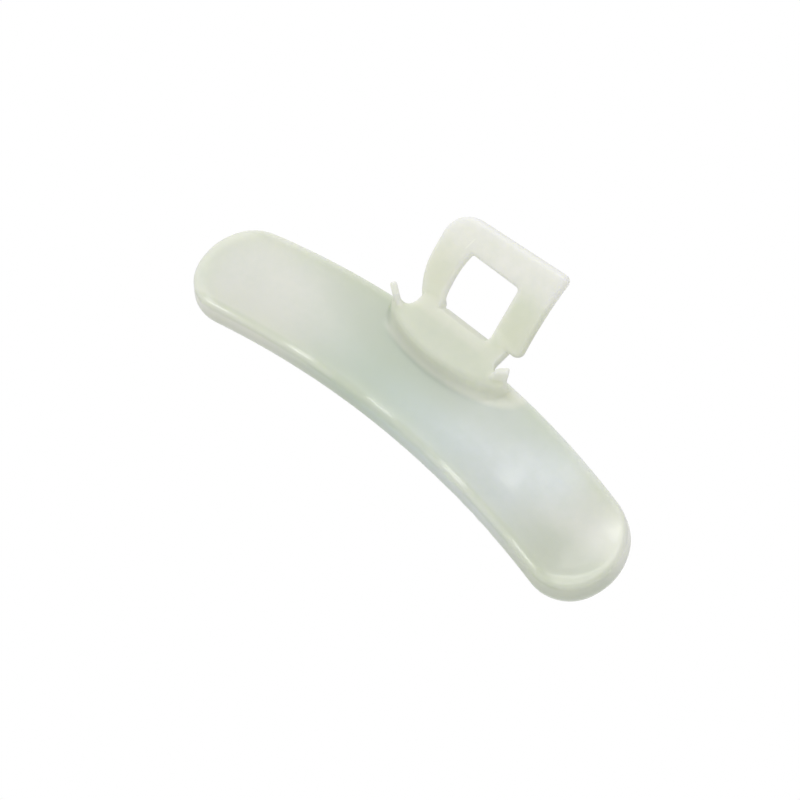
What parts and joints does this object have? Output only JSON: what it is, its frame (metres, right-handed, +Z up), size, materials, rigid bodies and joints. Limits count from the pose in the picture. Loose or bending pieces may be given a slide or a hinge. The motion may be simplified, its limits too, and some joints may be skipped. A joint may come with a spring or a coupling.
{
  "type": "washing machine door handle",
  "caption": "Curved grip with a dished back face, a raised neck with a horn at each side, and a sloping loop whose window takes the latch hook; moulded in one piece.",
  "frame": {"origin": "at the base under the middle of the bounding box; the handle lies on its front face, with its door side up", "axes": "X along the grip, Y from the grip towards the loop, Z up from the front face to the door side"},
  "size_m": [0.15, 0.0634, 0.0318],
  "materials": {
    "plastic": "milky natural moulded plastic, smooth and glossy"
  },
  "bodies": {
    "root": {"handle": "plastic"}
  },
  "joints": []
}
